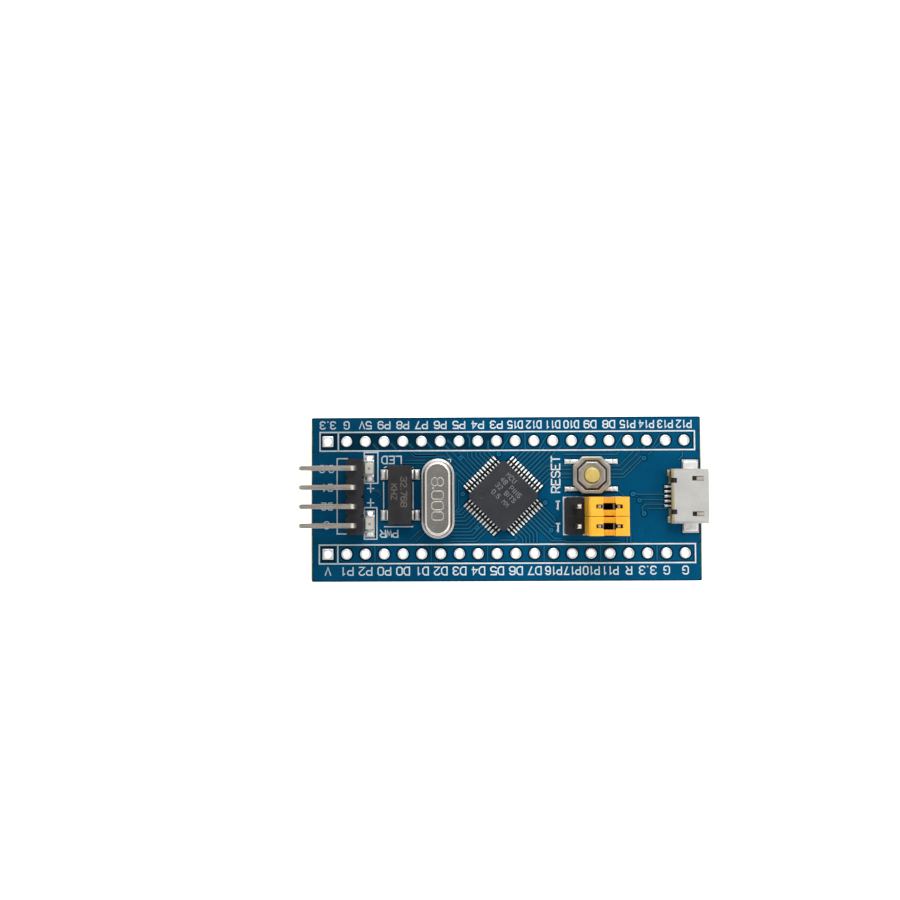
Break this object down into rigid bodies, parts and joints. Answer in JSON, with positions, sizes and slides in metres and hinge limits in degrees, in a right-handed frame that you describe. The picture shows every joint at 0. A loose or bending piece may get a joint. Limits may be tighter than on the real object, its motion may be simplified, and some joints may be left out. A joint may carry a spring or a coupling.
{
  "type": "microcontroller development board",
  "caption": "Blue microcontroller board with two rows of header holes, a 45-degree chip, crystals, reset button, jumper caps, debug pins and a micro USB port.",
  "frame": {"origin": "centre of the two rows of header holes, on the lower face of the circuit board", "axes": "+X along the board to the USB end, +Y across it to the row that starts beside the status light, +Z out of the component side"},
  "size_m": [0.0545, 0.0223, 0.012],
  "materials": {
    "black_plastic": "black glass-filled moulding",
    "board": "blue solder mask over glass-epoxy laminate, satin gloss",
    "button_brass": "matte brass-coloured button",
    "can_metal": "nickel-silver, bright rolled rim and satin top",
    "ceramic_tan": "tan sintered ceramic",
    "ceramic_white": "white alumina",
    "clear_epoxy": "clear water-white epoxy",
    "copper": "bare copper alloy",
    "die": "light-emitting crystal",
    "glass_bead": "fused glass",
    "gold": "thin gold flash over nickel",
    "lead_tin": "matte tin plate",
    "mask_over_copper": "copper under blue solder mask",
    "mould_compound": "fine matte epoxy moulding compound",
    "pin_metal": "tin-plated square brass wire",
    "quartz": "polished quartz with metal film",
    "resistor_glass": "black overglaze",
    "shell_metal": "matte nickel-plated sheet steel",
    "silicon": "polished silicon",
    "solder": "bright solder",
    "switch_metal": "nickel-plated pressed steel, satin",
    "tin": "tinned copper, bright but slightly uneven",
    "white_laminate": "white laminate",
    "yellow_plastic": "yellow-orange moulded plastic"
  },
  "bodies": {
    "board": {"pcb_substrate": "board", "header_hole_plating": "tin", "via_plating": "mask_over_copper", "solder_pads": "tin", "mcu_body": "mould_compound", "mcu_leads": "lead_tin", "mcu_die": "silicon", "mcu_die_paddle": "copper", "main_crystal_can": "can_metal", "main_crystal_base": "can_metal", "main_crystal_glass_seals": "glass_bead", "main_crystal_leads": "lead_tin", "main_crystal_clips": "can_metal", "main_crystal_quartz": "quartz", "clock_crystal_body": "black_plastic", "clock_crystal_terminals": "lead_tin", "clock_crystal_cylinder": "can_metal", "clock_crystal_fork": "quartz", "reset_switch_base": "black_plastic", "reset_switch_cover": "switch_metal", "reset_switch_terminals": "lead_tin", "reset_switch_dome": "switch_metal", "boot_header_strip": "black_plastic", "boot_header_pins": "pin_metal", "debug_header_strip": "black_plastic", "debug_header_pins": "pin_metal", "usb_shell": "shell_metal", "usb_insulator": "black_plastic", "usb_contacts": "gold", "status_led_base": "white_laminate", "status_led_lens": "clear_epoxy", "status_led_terminals": "lead_tin", "power_led_base": "white_laminate", "power_led_lens": "clear_epoxy", "power_led_terminals": "lead_tin", "led_dies": "die", "regulator_body": "mould_compound", "regulator_leads": "lead_tin", "chip_capacitor_bodies": "ceramic_tan", "chip_capacitor_ends": "lead_tin", "chip_resistor_bodies": "ceramic_white", "chip_resistor_coats": "resistor_glass", "chip_resistor_ends": "lead_tin", "pin_solder_joints": "solder"},
    "upper_jumper": {"jumper_cap_upper": "yellow_plastic", "jumper_contact_upper": "gold"},
    "lower_jumper": {"jumper_cap_lower": "yellow_plastic", "jumper_contact_lower": "gold"},
    "button": {"reset_button": "button_brass"}
  },
  "joints": [
    {"name": "reset_button_press", "type": "slide", "parent": "board", "child": "button", "axis": [0, 0, -1], "range_m": [0, 0.00025], "stiffness_N_per_m": 6000, "deforming": ["reset_switch_dome"]},
    {"name": "upper_jumper_pull", "type": "slide", "parent": "board", "child": "upper_jumper", "axis": [0, 0, 1], "range_m": [0, 0.0075]},
    {"name": "lower_jumper_pull", "type": "slide", "parent": "board", "child": "lower_jumper", "axis": [0, 0, 1], "range_m": [0, 0.0075]}
  ]
}
